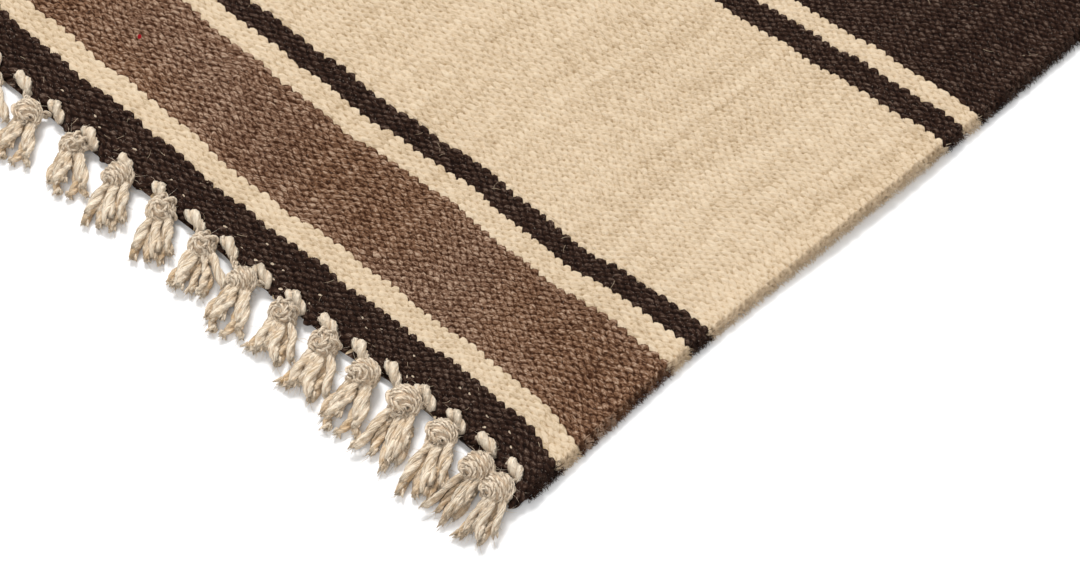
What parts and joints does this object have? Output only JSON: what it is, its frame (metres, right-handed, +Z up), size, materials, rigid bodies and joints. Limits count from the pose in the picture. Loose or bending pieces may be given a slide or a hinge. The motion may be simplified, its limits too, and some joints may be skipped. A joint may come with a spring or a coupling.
{
  "type": "kilim rug",
  "caption": "Flat-woven wool kilim rug in natural stripes, laid flat, with knotted tassels along both ends.",
  "frame": {"origin": "on the floor under the middle of the rug", "axes": "+Z up, weft along X, warp along Y, front fringe at -Y"},
  "size_m": [0.7584, 1.1184, 0.0094],
  "materials": {
    "woven_wool": "matt weft-faced wool weave, striped in natural cream, brown and near black",
    "fringe_yarn": "matt plied wool yarn in natural beige"
  },
  "bodies": {
    "root": {"rug_cloth": "woven_wool", "fringe_front": "fringe_yarn", "fringe_back": "fringe_yarn"}
  },
  "joints": []
}
